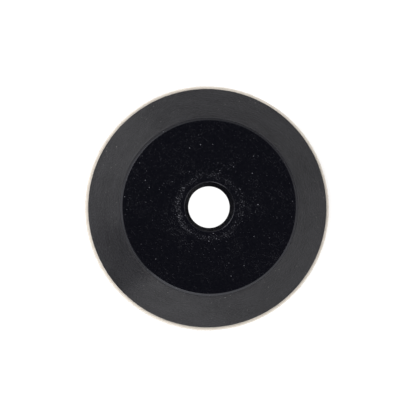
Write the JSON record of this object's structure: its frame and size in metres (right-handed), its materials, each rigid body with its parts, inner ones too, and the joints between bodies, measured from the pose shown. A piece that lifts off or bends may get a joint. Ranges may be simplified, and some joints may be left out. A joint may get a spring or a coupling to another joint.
{
  "type": "felt polishing wheel",
  "caption": "Soft-backed polishing wheel: a felt disc glued to a conical rubber cushion, clamped on an arbor by a bored plastic hub plate with a recess for the nut.",
  "frame": {"origin": "on the arbor axis at the felt's working face, which is the lowest face", "axes": "+Z along the arbor axis, from the felt's working face to the hub plate's back face; X and Y are alike"},
  "size_m": [0.1532, 0.1532, 0.0308],
  "materials": {
    "hub_plastic": "glossy, scuffed and dusty",
    "plate_glue": "dull black contact adhesive",
    "cushion_rubber": "matte, fine turned grain",
    "felt_glue": "dull adhesive film",
    "wool_felt": "dense cream wool felt"
  },
  "bodies": {
    "root": {"hub_plate": "hub_plastic", "plate_glue": "plate_glue", "rubber_cushion": "cushion_rubber", "felt_glue": "felt_glue", "felt_face": "wool_felt"}
  },
  "joints": []
}
